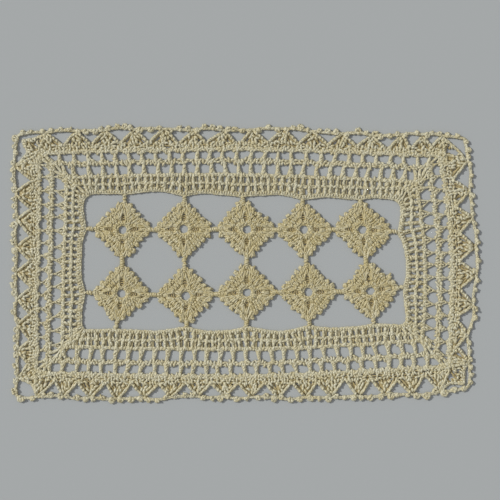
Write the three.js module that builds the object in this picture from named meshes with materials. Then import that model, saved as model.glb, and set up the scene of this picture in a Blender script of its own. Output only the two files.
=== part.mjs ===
// Crochet doily: a rectangular lace mat, ten square motifs set on their points inside a worked border.
// Millimetres, +Z up. The doily lies flat on Z = 0, and the origin is under the middle of its outline.
import * as THREE from "three";

// Driving sizes
const BORDER_THICKNESS = 2.2;
const MOTIF_THICKNESS = 2.4;
const PIECE_GAP = 0.3;
const CHAIN_WIDTH = 2.9;
const YARN = { color: 0xd8cfa8, roughness: 0.92, metalness: 0 };

// How the doily lies, seen from above: the corners of the opening and of the edge chain, from the middle of the
// lattice. The opening's corners are worked round to the radius given, and the gap that the edge chain leaves as it
// turns a corner reaches in to the depth given.
const CORNERS = {
  topLeft: { opening: [-145.4, 64.8], edge: [-203.8, 117.0], radius: 13, gapDepth: 6.5 },
  topRight: { opening: [138.2, 57.2], edge: [196.6, 113.4], radius: 8, gapDepth: 6.5 },
  bottomRight: { opening: [144.0, -54.0], edge: [199.8, -110.2], radius: 6, gapDepth: 6.0 },
  bottomLeft: { opening: [-146.2, -58.0], edge: [-206.1, -118.4], radius: 5, gapDepth: 10.0 },
};

// One row for each side, clockwise. A bow is how far the middle of a line stands out past its corners, and joins are
// the places along the opening that hold a motif, as shares of the side. Each mesh round has its count of gaps, its
// share of the border's depth at the start, the middle and the end, the steps from the corners to its first and last
// gap, and how much its steps close up along the side. The last steps of the fans may be cut into closing fans.
const SIDES = [
  {
    name: "top", from: "topLeft", to: "topRight", openingBow: 0, edgeBow: 6.3,
    joins: [0.131, 0.318, 0.503, 0.694, 0.876],
    innerMesh: { count: 27, depth: [0.37, 0.426, 0.4], lead: 0.73, tail: 1.2, closeUp: 0.15 },
    outerMesh: { count: 28, depth: [0.575, 0.62, 0.62], lead: 0.56, tail: 1.15, closeUp: 0 },
    fans: { count: 13, lead: 0.91, tail: 2.12, closing: 3 },
  },
  {
    name: "right", from: "topRight", to: "bottomRight", openingBow: 4, edgeBow: 7.7,
    joins: [0.25, 0.694],
    innerMesh: { count: 13, depth: [0.35, 0.38, 0.366], lead: 0.4, tail: 1.0, closeUp: 0 },
    outerMesh: { count: 15, depth: [0.565, 0.583, 0.589], lead: 0.38, tail: 0.99, closeUp: 0 },
    fans: { count: 8, lead: 0.79, tail: 0.88, closing: 1 },
  },
  {
    name: "bottom", from: "bottomRight", to: "bottomLeft", openingBow: 3.6, edgeBow: 5.6,
    joins: [0.1, 0.299, 0.492, 0.679, 0.897],
    innerMesh: { count: 28, depth: [0.36, 0.376, 0.35], lead: 0.64, tail: 0.97, closeUp: 0 },
    outerMesh: { count: 30, depth: [0.575, 0.59, 0.56], lead: 0.61, tail: 0.84, closeUp: 0 },
    fans: { count: 16, lead: 1.06, tail: 0.76, closing: 1 },
  },
  {
    name: "left", from: "bottomLeft", to: "topLeft", openingBow: 1, edgeBow: 0,
    joins: [0.263, 0.737],
    innerMesh: { count: 12, depth: [0.405, 0.398, 0.365], lead: 1.4, tail: 1.01, closeUp: 0 },
    outerMesh: { count: 15, depth: [0.608, 0.606, 0.595], lead: 1.03, tail: 0.99, closeUp: 0 },
    fans: { count: 9, lead: 0.68, tail: 1.23, closing: 1 },
  },
];

// Gaps of the border. A mesh is wide from its outer side to its waist, and its posts spread from there to the foot.
const INNER_MESH = { outerHalf: 4.5, innerHalf: 2.9, halfDepth: 3.8, waist: -0.2 };
const OUTER_MESH = { outerHalf: 4.3, innerHalf: 3.0, halfDepth: 3.3, waist: -0.2 };
const MESH_UNEVEN = { size: 0.06, drift: 0.5 };
const FAN_HOLE = { half: 2.1, halfDepth: 2.3, fromEdge: 13, fromCorner: 22 };
const FAN_GAP = { depth: 14, tipHalf: 3.0 };
const CORNER_GAP_FOOT = 5.0;

// Edge chain: the loops from fan to fan, with picots at an even pitch
const EDGE_PICOT = { pitch: 8.6, rise: 1.7, footHalf: 2.6, topHalf: 1.5, uneven: 0.25 };
const LOOP = { bow: 0.95, uneven: 0.8 };
const UNDER_CHAIN = -CHAIN_WIDTH / 2;

// Opening's edge: it bows out between the joins, and each join pulls it in
const JOIN = { half: 1.8, shoulder: 6, pull: 1.0 };
const SCALLOP = { bow: 0.7, step: 14 };
const CORNER_STEPS = 3;

// Motifs: the place of each in the lattice, and its size
const MOTIFS = [
  { row: 1, column: 1, x: -110.2, y: 31.0, scale: 1.0 },
  { row: 1, column: 2, x: -55.4, y: 31.5, scale: 0.98 },
  { row: 1, column: 3, x: 1.0, y: 32.0, scale: 1.02 },
  { row: 1, column: 4, x: 52.6, y: 31.0, scale: 0.98 },
  { row: 1, column: 5, x: 105.4, y: 31.2, scale: 0.99 },
  { row: 2, column: 1, x: -111.6, y: -26.1, scale: 1.0 },
  { row: 2, column: 2, x: -53.6, y: -28.0, scale: 1.01 },
  { row: 2, column: 3, x: 1.4, y: -25.5, scale: 1.02 },
  { row: 2, column: 4, x: 56.2, y: -24.8, scale: 0.99 },
  { row: 2, column: 5, x: 112.0, y: -23.5, scale: 1.0 },
];
const MOTIF_ROWS = 2;
const MOTIF_COLUMNS = 5;
const MOTIF_REACH = 26.3;
const MOTIF_PICOT = { count: 5, rise: 2.6, footHalf: 2.3, topHalf: 1.3, fromTip: 3.2, uneven: 0.2 };
const MOTIF_HOLE = { halfWidth: 3.3, halfHeight: 3.8, points: 8 };
const TIPS = ["up", "right", "down", "left"];

const vector = ([x, y]) => new THREE.Vector2(x, y);
const leftOf = (v) => new THREE.Vector2(-v.y, v.x);
const shift = (p, a, along, b, out) => p.clone().addScaledVector(a, along).addScaledVector(b, out);

// A steady value from -1 to 1 for the unevenness of hand work, scattered by the stitch's place in its row and its row
const SCATTER = { place: 12.9898, row: 78.233, start: 4.1 };
const uneven = (k, row = 0) => Math.sin(k * SCATTER.place + row * SCATTER.row + SCATTER.start);

// A line of the border, the opening's edge or the edge chain, at a share of one side
function sideLine(side, line, bow, s) {
  const a = vector(CORNERS[side.from][line]);
  const b = vector(CORNERS[side.to][line]);
  const out = leftOf(b.clone().sub(a)).normalize();
  return a.lerp(b, s).addScaledVector(out, bow * 4 * s * (1 - s));
}

// A point of the border: a share of the side, a share of the depth, then an offset along the side and outwards
function place(side, s, share, along = 0, out = 0) {
  const at = (t) => {
    const opening = sideLine(side, "opening", side.openingBow, t);
    const edge = sideLine(side, "edge", side.edgeBow, t);
    return opening.lerp(edge, share);
  };
  const nudge = 0.002;
  const tangent = at(s + nudge).sub(at(s - nudge)).normalize();
  return shift(at(s), tangent, along, leftOf(tangent), out);
}

const sideLength = (side, share) => place(side, 0, share).distanceTo(place(side, 1, share));

// Shares of a side at which the gaps of a mesh round stand
function meshStations({ count, lead, tail, closeUp }) {
  const last = count - 1;
  const steps = last + lead + tail;
  return Array.from({ length: count }, (_, k) => (lead + k + (closeUp / 2) * k * (1 - k / last)) / steps);
}

// Depth of a mesh round at a share of its side, on a curve through its start, middle and end
function roundDepth([start, middle, end], s) {
  const bend = 2 * (start + end) - 4 * middle;
  return start + s * (end - start) + bend * s * (s - 1);
}

// Shares of a side at which the fans' tips meet the edge chain
function fanStations({ count, lead, tail, closing }) {
  const steps = count - 1 + lead + tail;
  const even = Array.from({ length: count }, (_, k) => (k + lead) / steps);
  const last = even.at(-1);
  const closed = Array.from({ length: closing - 1 }, (_, k) => last + ((k + 1) * (1 - last)) / closing);
  return [...even, ...closed];
}

// Open mesh: one six-sided gap for each repeat
function meshGaps(side, round, gap) {
  return meshStations(round).map((s, k) => {
    const size = 1 + MESH_UNEVEN.size * uneven(k, round.count);
    const drift = MESH_UNEVEN.drift * uneven(round.count, k);
    const depth = roundDepth(round.depth, s);
    const corner = (half, out) => place(side, s, depth, half * size + drift, out * gap.halfDepth);
    return [
      corner(-gap.outerHalf, 1),
      corner(gap.outerHalf, 1),
      corner(gap.outerHalf, gap.waist),
      corner(gap.innerHalf, -1),
      corner(-gap.innerHalf, -1),
      corner(-gap.outerHalf, gap.waist),
    ];
  });
}

// Fans: the hole in the middle of each, but for those that run into a corner
function fanHoles(side) {
  const { half, halfDepth, fromEdge, fromCorner } = FAN_HOLE;
  const margin = fromCorner / sideLength(side, 1);
  const clear = fanStations(side.fans).filter((s) => s > margin && s < 1 - margin);
  return clear.map((s) => {
    const corner = (along, out) => place(side, s, 1, along, out - fromEdge);
    return [corner(-half, 0), corner(0, halfDepth), corner(half, 0), corner(0, -halfDepth)];
  });
}

const loopBow = (k) => LOOP.bow + LOOP.uneven * uneven(k);

// Fans: the triangle left open between two tips, under one loop of the edge chain
function fanGaps(side) {
  const tips = fanStations(side.fans);
  return tips.slice(1).map((tip, k) => {
    const middle = (tips[k] + tip) / 2;
    return [
      place(side, middle, 1, 0, -FAN_GAP.depth),
      place(side, tips[k], 1, FAN_GAP.tipHalf, UNDER_CHAIN),
      place(side, middle, 1, 0, UNDER_CHAIN + loopBow(k)),
      place(side, tip, 1, -FAN_GAP.tipHalf, UNDER_CHAIN),
    ];
  });
}

// Corners: the long loop of chain that turns each corner stands clear of the lace inside it
function cornerGap(side, index) {
  const next = SIDES[(index + 1) % SIDES.length];
  const last = fanStations(side.fans).at(-1);
  const first = fanStations(next.fans)[0];
  const { opening, edge, gapDepth } = CORNERS[side.to];
  const diagonal = vector(opening).sub(vector(edge)).normalize();
  const inwards = (depth) => vector(edge).addScaledVector(diagonal, depth * Math.SQRT2);
  return [
    place(side, last, 1, FAN_GAP.tipHalf, UNDER_CHAIN),
    inwards(-UNDER_CHAIN),
    place(next, first, 1, -FAN_GAP.tipHalf, UNDER_CHAIN),
    place(next, first / 2, 1, 0, -CORNER_GAP_FOOT),
    inwards(gapDepth),
    place(side, (1 + last) / 2, 1, 0, -CORNER_GAP_FOOT),
  ];
}

// Outer edge: the loops of chain between the fans' tips, with their picots
function edgeOutline() {
  const { pitch, rise, footHalf, topHalf } = EDGE_PICOT;
  const points = [];
  for (const side of SIDES) {
    const tips = [0, ...fanStations(side.fans), 1];
    const length = sideLength(side, 1);
    for (let k = 0; k + 1 < tips.length; k += 1) {
      const span = tips[k + 1] - tips[k];
      const count = Math.max(1, Math.round((span * length) / pitch));
      for (let picot = 0; picot < count; picot += 1) {
        const u = (picot + 0.5) / count;
        const face = CHAIN_WIDTH / 2 + loopBow(k) * 4 * u * (1 - u);
        const top = face + rise * (1 + EDGE_PICOT.uneven * uneven(picot, k));
        const at = (along, out) => place(side, tips[k] + u * span, 1, along, out);
        points.push(at(-footHalf, face), at(-topHalf, top), at(topHalf, top), at(footHalf, face));
      }
    }
  }
  return points;
}

// The flat stretch of the opening's edge that a motif's chain meets, pulled in a little by it
function joinPad(side, s, gap) {
  const inwards = -JOIN.pull - gap;
  return [place(side, s, 0, -JOIN.half, inwards), place(side, s, 0, JOIN.half, inwards)];
}

// A stretch of the opening's edge between two joins
function scallop(side, from, to) {
  const steps = Math.max(1, Math.round(((to - from) * sideLength(side, 0)) / SCALLOP.step));
  return Array.from({ length: steps + 1 }, (_, k) => {
    const u = k / steps;
    return place(side, THREE.MathUtils.lerp(from, to, u), 0, 0, SCALLOP.bow * 4 * u * (1 - u));
  });
}

// Inner edge: the opening, with its joins and its worked round corners
function openingOutline() {
  const points = [];
  SIDES.forEach((side, index) => {
    const next = SIDES[(index + 1) % SIDES.length];
    const length = sideLength(side, 0);
    const { radius, opening } = CORNERS[side.to];
    let from = CORNERS[side.from].radius / length;
    for (const s of side.joins) {
      points.push(...scallop(side, from, s - JOIN.shoulder / length), ...joinPad(side, s, 0));
      from = s + JOIN.shoulder / length;
    }
    points.push(...scallop(side, from, 1 - radius / length));
    const turned = place(next, radius / sideLength(next, 0), 0);
    const bend = new THREE.QuadraticBezierCurve(points.at(-1), vector(opening), turned);
    points.push(...bend.getPoints(CORNER_STEPS).slice(1, -1));
  });
  return points;
}

// A flat closed plate from its gaps and an outline worked clockwise, which a shape runs the other way round
function plate(name, outline, gaps, thickness) {
  const shape = new THREE.Shape(outline.toReversed());
  shape.holes = gaps.map((gap) => new THREE.Path(gap));
  const geometry = new THREE.ExtrudeGeometry(shape, { depth: thickness, bevelEnabled: false });
  const mesh = new THREE.Mesh(geometry, new THREE.MeshStandardMaterial(YARN));
  mesh.name = name;
  return mesh;
}

function border() {
  const gaps = SIDES.flatMap((side) => [
    ...meshGaps(side, side.innerMesh, INNER_MESH),
    ...meshGaps(side, side.outerMesh, OUTER_MESH),
    ...fanHoles(side),
    ...fanGaps(side),
  ]);
  const corners = SIDES.map(cornerGap);
  return plate("border", edgeOutline(), [openingOutline(), ...gaps, ...corners], BORDER_THICKNESS);
}

// The border's edge, at the join that holds one tip of a motif in the outer row or column
function borderJoin(name, order) {
  const side = SIDES.find((one) => one.name === name);
  return joinPad(side, side.joins[order], PIECE_GAP);
}

// The end of a motif's chain at one tip, left then right: on the border's edge, or halfway to the next motif
function chainEnd(motif, tip) {
  const { row, column } = motif;
  if (tip === "up" && row === 1) {
    return borderJoin("top", column - 1);
  }
  if (tip === "right" && column === MOTIF_COLUMNS) {
    return borderJoin("right", row - 1);
  }
  if (tip === "down" && row === MOTIF_ROWS) {
    return borderJoin("bottom", MOTIF_COLUMNS - column);
  }
  if (tip === "left" && column === 1) {
    return borderJoin("left", MOTIF_ROWS - row);
  }
  const [down, right] = { up: [-1, 0], right: [0, 1], down: [1, 0], left: [0, -1] }[tip];
  const other = MOTIFS.find((one) => one.row === row + down && one.column === column + right);
  const here = new THREE.Vector2(motif.x, motif.y);
  const there = new THREE.Vector2(other.x, other.y);
  const towards = there.clone().sub(here).normalize();
  const meeting = here.lerp(there, 0.5).addScaledVector(towards, -PIECE_GAP / 2);
  const across = leftOf(towards);
  return [JOIN.half, -JOIN.half].map((half) => meeting.clone().addScaledVector(across, half));
}

// Row of picots along one edge of a motif, from tip to tip
function picotRow(from, to) {
  const { count, rise, footHalf, topHalf, fromTip } = MOTIF_PICOT;
  const along = to.clone().sub(from).normalize();
  const out = leftOf(along);
  const pitch = (from.distanceTo(to) - 2 * fromTip) / count;
  return Array.from({ length: count }, (_, k) => {
    const middle = fromTip + pitch * (k + 0.5);
    const height = rise * (1 + MOTIF_PICOT.uneven * uneven(k, from.x));
    const corner = (offset, lift) => shift(from, along, middle + offset, out, lift);
    return [corner(-footHalf, 0), corner(-topHalf, height), corner(topHalf, height), corner(footHalf, 0)];
  }).flat();
}

// One motif: clockwise round its tips, each drawn towards its join by a short chain
function motifMesh(motif) {
  const { row, column, x, y, scale } = motif;
  const centre = new THREE.Vector2(x, y);
  const reach = MOTIF_REACH * scale;
  const ends = TIPS.map((tip) => chainEnd(motif, tip));
  const axes = ends.map(([left, right]) => left.clone().lerp(right, 0.5).sub(centre).normalize());
  const tips = axes.map((axis) => centre.clone().addScaledVector(axis, reach));
  const outline = TIPS.flatMap((_, k) => {
    const across = leftOf(axes[k]);
    const foot = (half) => shift(centre, axes[k], reach - JOIN.half, across, half);
    const picots = picotRow(tips[k], tips[(k + 1) % TIPS.length]);
    return [foot(JOIN.half), ...ends[k], foot(-JOIN.half), ...picots];
  });
  const { halfWidth, halfHeight, points } = MOTIF_HOLE;
  const ring = new THREE.EllipseCurve(x, y, halfWidth, halfHeight, 0, 2 * Math.PI);
  return plate(`motif_r${row}_c${column}`, outline, [ring.getPoints(points).slice(0, -1)], MOTIF_THICKNESS);
}

// The lattice is moved so that the origin is under the middle of the outline
const lace = new THREE.Group();
lace.add(border(), ...MOTIFS.map(motifMesh));
const middle = new THREE.Box3().setFromObject(lace).getCenter(new THREE.Vector3());
lace.position.set(-middle.x, -middle.y, 0);

const doily = new THREE.Group();
doily.add(lace);

export default doily;
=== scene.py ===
"""Crochet doily, worked stitch by stitch in plied cotton yarn.

Lengths in the tables are millimetres, seen from above, from the middle of the lattice of motifs.
"""
import math

import bmesh
import bpy
import numpy as np
from bpy.props import FloatProperty, FloatVectorProperty, IntProperty, PointerProperty
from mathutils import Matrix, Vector


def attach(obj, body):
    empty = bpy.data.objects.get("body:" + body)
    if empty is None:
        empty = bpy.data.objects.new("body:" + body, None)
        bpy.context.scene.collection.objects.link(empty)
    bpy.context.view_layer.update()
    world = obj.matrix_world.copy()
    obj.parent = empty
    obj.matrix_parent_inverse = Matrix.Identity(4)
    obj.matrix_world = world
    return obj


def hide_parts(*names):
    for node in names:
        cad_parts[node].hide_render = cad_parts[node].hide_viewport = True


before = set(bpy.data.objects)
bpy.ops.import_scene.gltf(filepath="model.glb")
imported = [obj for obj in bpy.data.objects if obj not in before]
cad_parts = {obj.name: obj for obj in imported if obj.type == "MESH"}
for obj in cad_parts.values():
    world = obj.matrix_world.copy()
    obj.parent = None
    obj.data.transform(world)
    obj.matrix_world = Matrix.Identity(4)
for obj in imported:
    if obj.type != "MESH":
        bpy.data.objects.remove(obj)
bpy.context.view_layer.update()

bl_info = {
    "name": "Crochet Doily",
    "version": (1, 0, 0),
    "blender": (4, 5, 0),
    "location": "3D View > Sidebar > Doily",
    "description": "Works a rectangular lace doily, stitch by stitch",
    "category": "Object",
}

MM = 0.001
TURN = 2 * math.pi
TINY = 1e-9
UP = np.array((0.0, 0.0, 1.0))
ROOT = "root"

# From the middle of the lattice to the middle of the doily's outline
LATTICE_SHIFT = np.array((-0.178, -0.309))

# Corners of the opening and of the edge chain. The opening's corners are worked round to the radius
# given. The lace has its rim through some points between the last fan of one side and the first of the
# next, and each of its holes has a middle and a radius.
CORNERS = {
    "top_left": {
        "opening": (-145.4, 64.8), "edge": (-203.8, 117.0), "radius": 13,
        "rim": ((-195.4, 100.4), (-200.3, 111.7), (-190.6, 112.3)),
        "holes": (
            (-188.2, 108.5, 2.1), (-177.6, 107.0, 1.9), (-193.4, 95.1, 1.8), (-182.6, 99.0, 1.6),
            (-167.5, 102.2, 1.8),
        ),
    },
    "top_right": {
        "opening": (138.2, 57.2), "edge": (196.6, 113.4), "radius": 8,
        "rim": ((192.3, 101.3),),
        "holes": ((187.0, 100.3, 4.2), (172.5, 106.1, 3.8), (176.4, 94.5, 1.9), (189.1, 94.5, 1.9)),
    },
    "bottom_right": {
        "opening": (144.0, -54.0), "edge": (199.8, -110.2), "radius": 6,
        "rim": ((196.2, -94.9), (195.7, -107.5), (184.1, -105.9)),
        "holes": ((179.3, -93.4, 1.7), (184.0, -100.2, 1.8), (190.5, -97.0, 1.3)),
    },
    "bottom_left": {
        "opening": (-146.2, -58.0), "edge": (-206.1, -118.4), "radius": 5,
        "rim": ((-192.1, -106.9),),
        "holes": ((-190.6, -101.6, 2.3), (-182.0, -97.0, 1.6)),
    },
}

# Mesh posts of the long and the short sides: how far each of the two legs stands from the middle, how
# far its foot spreads, and its strands
LONG_POST = {"stem": 0.2, "flare": 1.6, "strands": {"joint": 0.75, "girth": 0.8, "yarn": 1.05}}
SHORT_POST = {"stem": 0.1, "flare": 4.0, "strands": {"joint": 0.62, "girth": 0.35, "yarn": 0.8}}

# One row for each side, clockwise. A bow is how far the middle of a line stands out past its corners.
# Joins are the places along the opening that hold a motif. Filet gives the tops of the band and of the
# two filet rounds, as shares of the way to the inner mesh. The rim is how far the opening's edge stands
# out past the straight line at its corners, at the joins and midway between them. Stray is how far the
# edge chain stands out past its bow at each tenth of the side. A mesh round has its count of gaps, its
# share of the border's depth at the start, middle and end, the steps from the corners to its first and
# last gap, and how much its steps close up, if they do. Fans have a count and such steps too, and the
# number of steps that the rest of the way to the corner is split into. A pit in a fan has its shares of
# the half width and of the height, and its radius. A picot has its radius, the share of it by which it
# stands out, and the share of the picots that face inwards.
SIDES = [
    {
        "from": "top_left", "to": "top_right", "opening_bow": 0.0, "edge_bow": 6.3,
        "joins": (0.131, 0.318, 0.503, 0.694, 0.876), "filet": (0.12, 0.52, 0.96),
        "rim": (0, -0.9, -1.5, 1.8, -1.5, 0.9, -1.5, 2.1, -1.5, 0.7, -1.5, 1.2, 0),
        "stray": (0, 0, 0.3, 0.6, -0.7, -1.0, 0.3, -1.6, -2.3, 0.9, 0),
        "inner_mesh": {
            "count": 27, "depth": (0.37, 0.426, 0.4), "lead": 0.73, "tail": 1.2, "close_up": 0.15,
        },
        "outer_mesh": {"count": 28, "depth": (0.575, 0.62, 0.62), "lead": 0.56, "tail": 1.15},
        "post": LONG_POST,
        "fans": {"count": 13, "lead": 0.91, "tail": 2.12, "closing": 3},
        "pits": ((-0.38, 0.5, 1.6), (0.38, 0.5, 1.6)),
        "picot": {"size": 1.6, "stand": 0.6, "inwards": 0.3},
    },
    {
        "from": "top_right", "to": "bottom_right", "opening_bow": 4.0, "edge_bow": 7.7,
        "joins": (0.25, 0.694), "filet": (0.13, 0.52, 0.95),
        "rim": (0, 0.2, -3.5, 3.2, -0.8, -0.6, 0),
        "stray": (0, 0.7, -0.6, -0.7, 0.2, 2.3, 0.1, -1.4, -4.3, -1.4, 0),
        "inner_mesh": {"count": 13, "depth": (0.35, 0.38, 0.366), "lead": 0.4, "tail": 1.0},
        "outer_mesh": {"count": 15, "depth": (0.565, 0.583, 0.589), "lead": 0.38, "tail": 0.99},
        "post": SHORT_POST,
        "fans": {"count": 8, "lead": 0.79, "tail": 0.88, "closing": 1},
        "pits": ((-0.4, 0.45, 1.8), (0.3, 0.55, 1.8)),
        "picot": {"size": 1.3, "stand": 0.9, "inwards": 0.05},
    },
    {
        "from": "bottom_right", "to": "bottom_left", "opening_bow": 3.6, "edge_bow": 5.6,
        "joins": (0.1, 0.299, 0.492, 0.679, 0.897), "filet": (0.10, 0.50, 0.96),
        "rim": (0, -0.5, -1.8, 1.3, -1.5, 3.2, -1.3, 3.4, -1.4, 1.6, -1.2, 0, 0),
        "stray": (0, 2.8, 1.5, 2.0, 0.7, -1.1, -2.7, -0.7, 0.2, -1.7, 0),
        "inner_mesh": {"count": 28, "depth": (0.36, 0.376, 0.35), "lead": 0.64, "tail": 0.97},
        "outer_mesh": {"count": 30, "depth": (0.575, 0.59, 0.56), "lead": 0.61, "tail": 0.84},
        "post": LONG_POST,
        "fans": {"count": 16, "lead": 1.06, "tail": 0.76, "closing": 1},
        "pits": ((-0.45, 0.4, 1.6), (0.3, 0.55, 1.5)),
        "picot": {"size": 1.8, "stand": 0.5, "inwards": 0.4},
    },
    {
        "from": "bottom_left", "to": "top_left", "opening_bow": 1.0, "edge_bow": 0.0,
        "joins": (0.263, 0.737), "filet": (0.16, 0.54, 0.95),
        "rim": (0, -0.2, -2.2, 1.6, -3.0, -0.6, 0),
        "stray": (0, -1.6, -0.7, -0.6, 0.8, 1.1, 0.8, 1.6, 2.3, 3.2, 0),
        "inner_mesh": {"count": 12, "depth": (0.405, 0.398, 0.365), "lead": 1.4, "tail": 1.01},
        "outer_mesh": {"count": 15, "depth": (0.608, 0.606, 0.595), "lead": 1.03, "tail": 0.99},
        "post": SHORT_POST,
        "fans": {"count": 9, "lead": 0.68, "tail": 1.23, "closing": 1},
        "pits": ((0.0, 0.43, 2.1), (0.1, 0.85, 1.2)),
        "picot": {"size": 1.8, "stand": 0.6, "inwards": 0.12},
    },
]

# Rounds of the border: half heights of the mesh gaps, the bars' distance off them, and bows of chains
INNER_GAP = 3.8
OUTER_GAP = 3.3
BAR_UNDER_INNER = 2.0
BAR_OVER_OUTER = 1.5
BAR_BOW = 0.5
EDGE_LOOP_BOW = 0.9
EDGE_LOOP_TURN = 2.4

# How widely each round is worked round its corners, against the radius of the opening's corner
CORNER_EASING = {
    "opening": 1.2, "band": 1.2, "filet": 1.1, "inner": 0.8, "middle": 0.6, "outer": 0.6, "edge": 0.15,
}

# Fineness of the lines that stitches are worked along, and how far they are evened out
SAMPLES_A_SIDE = 240
COURSE_STEP = 0.5
COURSE_LEAST = 8
EASE_LEAST = 1.0
EVEN_REACH = 1
PLACE_NUDGE = 0.002

# Seeds of the pieces' random unevenness, the range of their strands' tones, and the most they stray
SEEDS = {"band": 1, "mesh": 2, "fans": 3, "edging": 4, "motifs": 10}
BORDER_TONES = (-0.2, 0.8)
MOTIF_TONES = (0.5, 1.5)
VARY_MOST = 2

# A strand: thickness at an open end, height of its section against the width, and uneven height
STRAND_END = 0.7
STRAND_FLAT = 0.85
STRAND_LIFT = 0.1

# A chain stitch, one half of it: share of the pitch along, share of the half width across, and height
CHAIN_HALF = np.array((
    (0.00, 0.12, -0.32),
    (0.32, 0.52, 0.14),
    (0.76, 1.00, 0.36),
    (1.22, 0.76, 0.00),
))
CHAIN_LOOP = np.vstack((CHAIN_HALF, (CHAIN_HALF * (1, -1, 1))[::-1]))
CHAIN_STRAY = {"size": 0.12, "slant": 0.16, "along": 0.5, "across": 0.7, "tilt": 0.18}

# Chain on an open line: share of a pitch that its last stitch reaches on, and that its count leaves out
LINE_TAIL = 0.35
LINE_SPARE = 0.3

# The wrap over a chain stitch: along, share of the half width across, and height
CHAIN_WRAP = np.array((
    (-0.6, -1.20, 0.00),
    (-0.25, -0.50, 0.95),
    (0.25, 0.50, 0.95),
    (0.6, 1.20, 0.00),
))
WRAP_STRAY = {"size": 0.2, "along": 1.6, "across": 1.4, "lift": 0.12}
WRAP_SHARE = 0.72
WRAP_AT = 0.9
WRAP_LEAN = 0.4
WRAP_GIRTH = 1.12

# A short stitch, one arched strand: share of its length, and height
STROKE = np.array((
    (-0.15, -0.30),
    (0.25, 0.20),
    (0.75, 0.20),
    (1.15, -0.35),
))

# A post: how far it reaches past its foot and top, how far it dips at the foot and tucks in at the top
# and how steeply, the height of its twist against the width, and its unevenness
POST_FOOT = -1.0
POST_TOP = 0.8
POST_DIP = 0.35
POST_DIP_POWER = 4
POST_TUCK = 0.25
POST_TUCK_POWER = 6
POST_TWIST_FLAT = 0.8
POST_STRAY = {"girth": 0.12, "start": 0.5, "wrap": 0.05}

# The wrap round a post: across, along and height
POST_WRAP = np.array((
    (-1.15, -0.85, -0.15),
    (-0.55, -0.40, 0.92),
    (0.55, 0.35, 0.96),
    (1.15, 0.80, -0.10),
))

# A tall stitch with an open head, one strand of it: share of its length, across, and height
TALL_STRAND = np.array((
    (-0.06, 0.60, -0.55),
    (0.18, 0.40, -0.05),
    (0.42, 0.45, 0.30),
    (0.64, 0.60, 0.52),
    (0.82, 0.92, 0.50),
    (0.98, 0.80, 0.20),
    (1.08, 0.25, -0.30),
))
TALL_STRAY = {"slide": 0.09, "size": 0.1, "tilt": 0.18}
TALL_WRAP = {"at": 0.36, "along": 0.8, "across": 0.85, "girth": 0.9}

# A lump of yarn, the top of a stitch: along and height, how far it bows to the side, its thickness and
# flatness, how far lumps lean in the work and on the bars, their pitch, the share of places that get
# one, and unevenness
LUMP = np.array((
    (-1.90, -0.35),
    (-0.70, 0.35),
    (0.70, 0.35),
    (1.90, -0.35),
))
LUMP_BOW = np.array((-0.3, 0.3, 0.3, -0.3))
LUMP_GIRTH = 1.28
LUMP_FLAT = 0.7
LUMP_LEAN = 0.55
BAR_LEAN = 1.0
LUMP_PITCH = 2.9
LUMP_SHARE = 0.92
LUMP_STRAY = {"place": 0.45, "size": 0.15, "lift": 0.15}

# A single strand as the back of stitches, and the share of painted shade in its colour: the backs lie low
# and are
# # coloured dark to paint shade in the gaps between stitches
BACK_HEIGHT = 0.75
BACK_GIRTH = 0.85
BACK_STEP = 2.2
BACK_LIFT = 0.12
BACK_PAINTED_SHADE = 0.8

# Chains of the border: width against a plain chain, height of the middle, and thickness of thinner yarn
BRAIDS = {
    "opening": {"width": 1.0, "height": 0.9},
    "band": {"width": 0.7, "height": 0.6, "yarn": 0.7},
    "inner": {"width": 1.2, "height": 0.7},
    "outer": {"width": 1.0, "height": 0.9},
    "edge": {"width": 0.85, "height": 0.9},
}

# Rows of lumps over the bars and under the fans: how far out of the line each row lies
COVERS = {
    "inner": (0.0,),
    "middle": (-1.3, 0.8),
    "outer": (-0.5, 1.0),
    "fans": (0.0,),
}

# Bars of single strands: how far out of the line each lies, their height, and rise on short sides
FILET_BAR = {"offsets": (-0.6, 0.6), "height": 0.7, "rise": 0.7}
MIDDLE_BAR = {"offsets": (-0.8, 0.8), "height": 0.7}

# Short stitches of the band, and lumps along the filet bar on the short and the long sides
BAND_HEIGHT = 1.55
SHORT_BAR_LUMP = {"height": 1.5}
LONG_BAR_LUMP = {"height": 1.25, "lean": BAR_LEAN}

# Posts of the filet, which lie flat, lumps on them, and a low dark strand beside each as painted shade, set
# # to the side where the post's shadow falls
FILET_POST = {
    "legs": 0.4, "turns": 0.3, "points": 4, "wraps": (), "height": 0.85, "girth": 1.5, "flat": 0.6,
}
FILET_STRAY = 0.45
FILET_LUMPS = (0.15, 0.5, 0.9)
FILET_LUMP_SIZE = 1.12
FILET_SHADE_STRAND = {"height": 0.45, "painted_shade": 0.25, "flat": 0.25}

# Yarn of a filet post and of its painted-shade strand, and that strand's place towards where the post's
# # shadow falls, on the long and the short sides
LONG_FILET = {"yarn": 1.25, "back": 1.05, "shift": np.array((2.3, -0.6))}
SHORT_FILET = {"yarn": 0.9, "back": 0.9, "shift": np.array((0.6, -1.5))}

# How much of a direction runs across the doily, from long side to long side, for it to count as upright
UPRIGHT_LEAST = 0.7

# Mesh posts, and the lumps on them: share of the height, and share of the flare of the foot across
MESH_POST = {"legs": 0.3, "wraps": (0.3, 0.55), "height": 0.8}
MESH_STRAY = 0.75
MESH_LUMPS = ((0.08, -0.6), (0.08, 0.6), (0.14, 0.0), (0.30, 0.0), (0.94, -0.4), (0.94, 0.4))
MESH_LUMP_HEIGHT = 0.9

# Tall stitches at the corners of the mesh, and the lumps on them at shares of the height
MESH_CORNER_POST = {"wraps": (), "height": 0.7, "yarn": 1.1}
MESH_CORNER_LUMPS = (0.15, 0.48, 0.82)
MESH_CORNER_LUMP_HEIGHT = 1.2
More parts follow.
